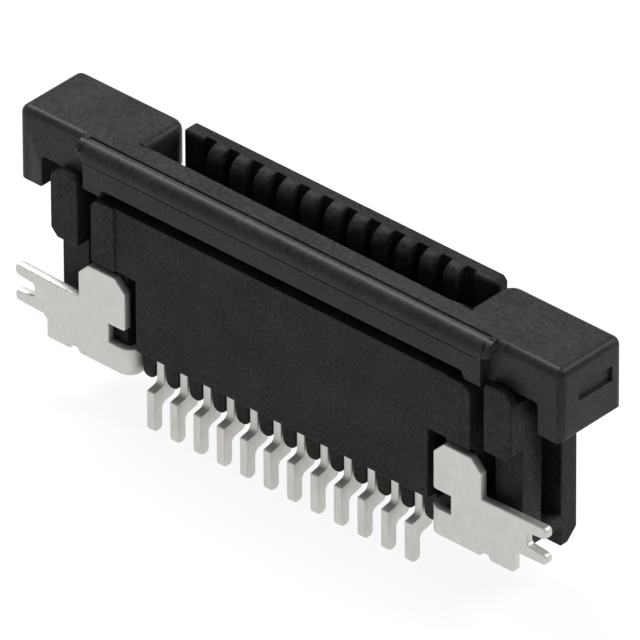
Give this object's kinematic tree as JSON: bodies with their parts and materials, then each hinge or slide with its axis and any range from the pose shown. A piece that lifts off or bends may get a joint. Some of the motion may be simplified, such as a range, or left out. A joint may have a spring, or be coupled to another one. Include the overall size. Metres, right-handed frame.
{
  "type": "fpc connector",
  "caption": "Right-angle surface-mount connector for a flat flexible cable, with a pull-out slider that clamps the cable, stamped contacts and forked solder nails.",
  "frame": {"origin": "on the solder plane, at the middle of the row of contacts, at the ends of their tails", "axes": "+X along the row of contacts, -Y out of the solder plane towards the board, +Z against the insertion direction, so that the cable slot faces up"},
  "size_m": [0.023, 0.0034, 0.0096],
  "materials": {
    "housing_plastic": "matt moulded black",
    "slider_plastic": "matt moulded black",
    "tin_plate": "matt tin plate"
  },
  "bodies": {
    "connector": {"housing": "housing_plastic", "solder_nail_left": "tin_plate", "solder_nail_right": "tin_plate", "contact_01": "tin_plate", "contact_02": "tin_plate", "contact_03": "tin_plate", "contact_04": "tin_plate", "contact_05": "tin_plate", "contact_06": "tin_plate", "contact_07": "tin_plate", "contact_08": "tin_plate", "contact_09": "tin_plate", "contact_10": "tin_plate", "contact_11": "tin_plate", "contact_12": "tin_plate"},
    "slider_body": {"slider": "slider_plastic"}
  },
  "joints": [
    {"name": "slider_slide", "type": "slide", "parent": "connector", "child": "slider_body", "axis": [0, 0, 1], "range_m": [0, 0.0013]}
  ]
}
